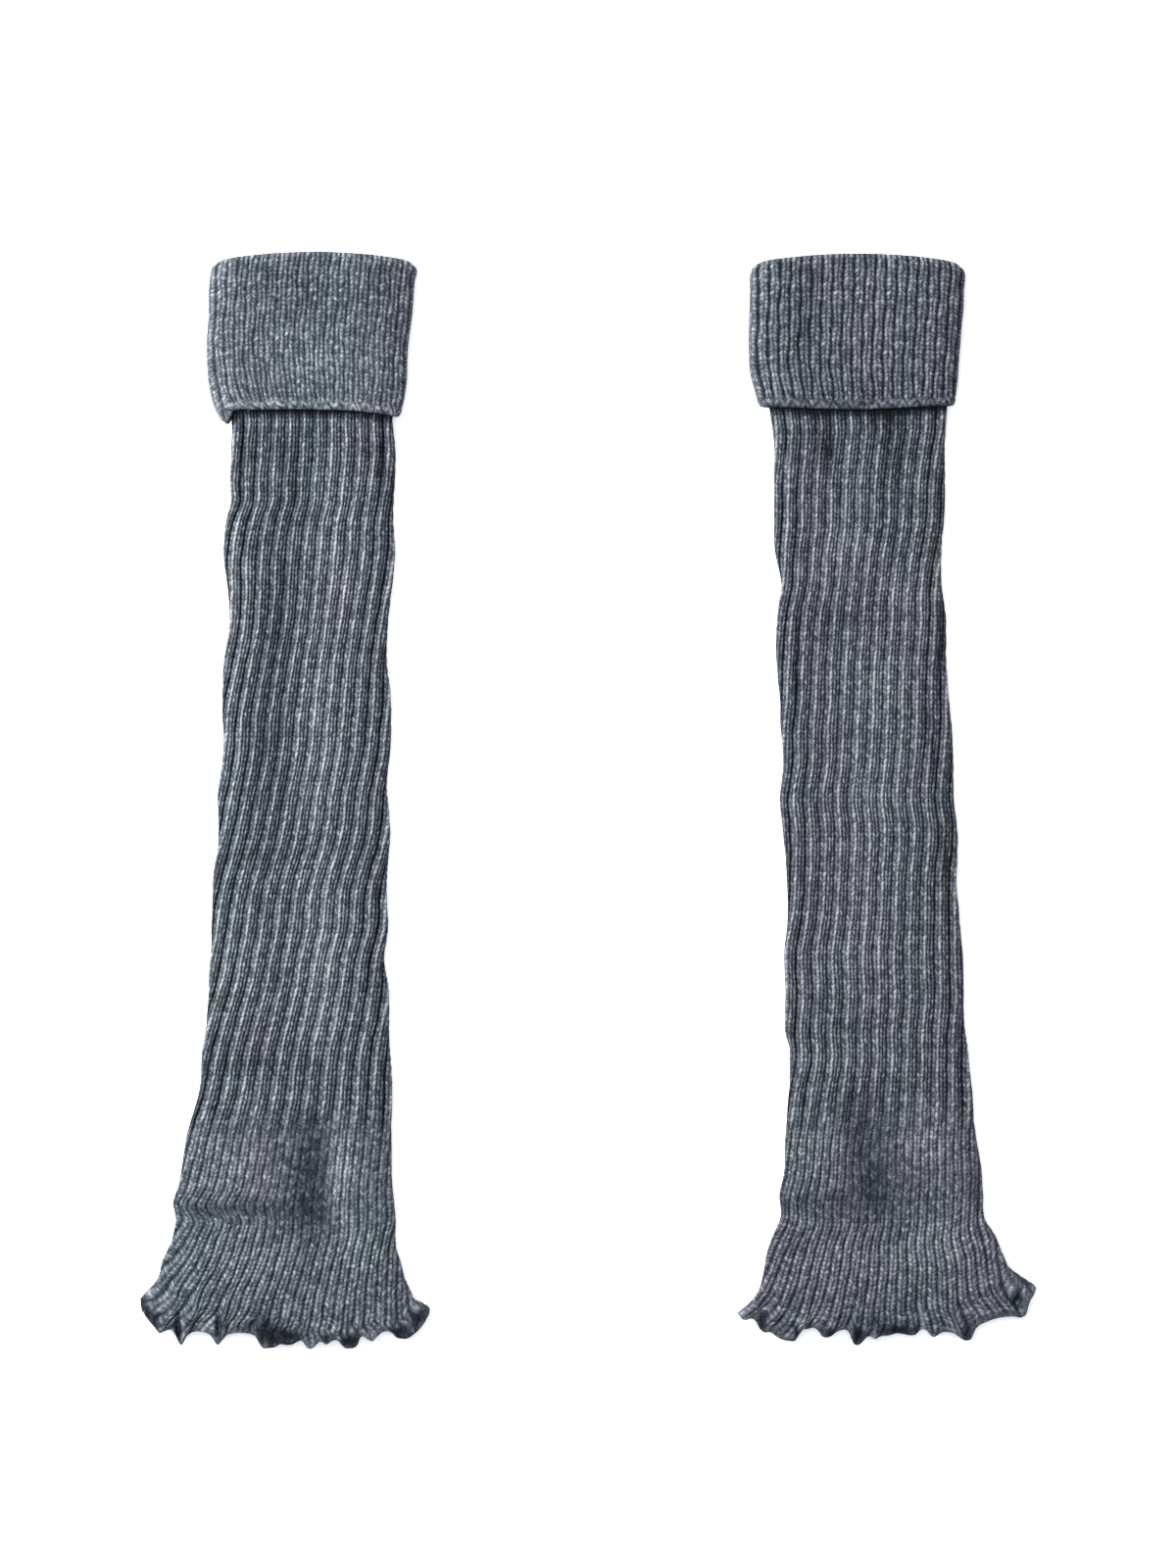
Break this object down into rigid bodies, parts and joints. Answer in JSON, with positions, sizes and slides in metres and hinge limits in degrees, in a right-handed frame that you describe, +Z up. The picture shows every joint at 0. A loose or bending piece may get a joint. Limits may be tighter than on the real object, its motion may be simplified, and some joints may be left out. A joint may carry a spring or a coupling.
{
  "type": "pair of leg warmers",
  "caption": "Pair of long rib-knit leg warmers laid flat side by side, each with a turned-down cuff of fine ribs and a flared, ruffled hem.",
  "frame": {"origin": "on the surface that the pair lies on, below the middle of its bounding box", "axes": "+Y along the legs towards the turned-down cuffs, +X from the left leg warmer to the right one, +Z up off the surface"},
  "size_m": [0.383, 0.4693, 0.0083],
  "materials": {
    "cuff_knit": "heathered slate-blue acrylic yarn in fine one-by-one ribs, soft and matt",
    "tube_knit": "heathered slate-blue acrylic yarn in wide ribs, soft and matt",
    "hem_knit": "heathered slate-blue acrylic yarn in fine ribs, stretched at a ruffled edge, soft and matt"
  },
  "bodies": {
    "root": {"left_cuff": "cuff_knit", "left_tube": "tube_knit", "left_hem": "hem_knit", "right_cuff": "cuff_knit", "right_tube": "tube_knit", "right_hem": "hem_knit"}
  },
  "joints": []
}
